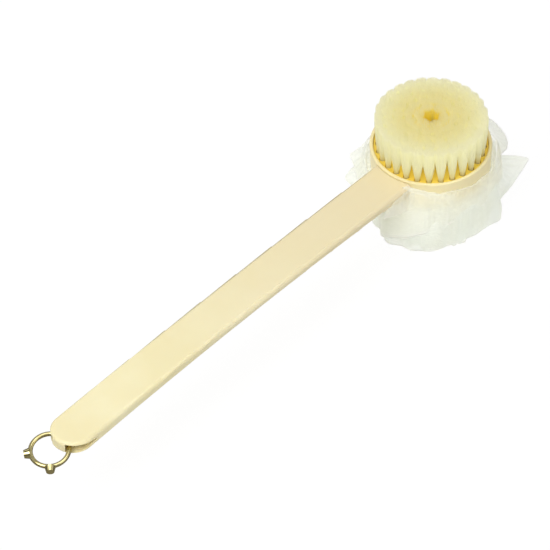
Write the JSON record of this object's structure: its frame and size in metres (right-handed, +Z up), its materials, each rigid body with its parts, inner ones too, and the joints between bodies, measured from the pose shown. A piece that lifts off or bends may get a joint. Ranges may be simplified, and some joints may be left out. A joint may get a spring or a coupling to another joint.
{
  "type": "body brush",
  "caption": "Long-handled two-sided bath brush: round head with trimmed nylon tufts on top, a gathered mesh puff underneath and a swinging hanging ring through the tail.",
  "frame": {"origin": "on the head's axis, at the centre of the puff's flat underside, where the brush stands", "axes": "+X along the handle from the tail to the head; +Z up through the bristles; +Y across the handle"},
  "size_m": [0.4134, 0.1082, 0.0805],
  "materials": {
    "ivory_plastic": "satin",
    "plate_plastic": "satin",
    "cream_nylon": "satin",
    "gold_plate": "polished",
    "staple_brass": "satin",
    "screw_steel": "satin",
    "puff_mesh": "satin",
    "white_cord": "matte",
    "button_plastic": "satin"
  },
  "bodies": {
    "brush": {"handle_upper_shell": "ivory_plastic", "handle_lower_shell": "ivory_plastic", "head_cup": "ivory_plastic", "bristle_plate": "plate_plastic", "plate_screws": "screw_steel", "neck_screws": "screw_steel", "mesh_puff": "puff_mesh", "puff_cord": "white_cord", "cord_button": "button_plastic", "tuft_ring_1": "cream_nylon", "tuft_ring_2": "cream_nylon", "tuft_ring_3": "cream_nylon", "tuft_ring_4": "cream_nylon", "tuft_ring_5": "cream_nylon", "staples_ring_1": "staple_brass", "staples_ring_2": "staple_brass", "staples_ring_3": "staple_brass", "staples_ring_4": "staple_brass", "staples_ring_5": "staple_brass"},
    "ring": {"hanging_ring": "gold_plate"}
  },
  "joints": [
    {"name": "ring_swing", "type": "hinge", "parent": "brush", "child": "ring", "pos_m": [-0.3348, 0, 0.0529], "axis": [0, 1, 0], "range_deg": [-14, 15]}
  ]
}
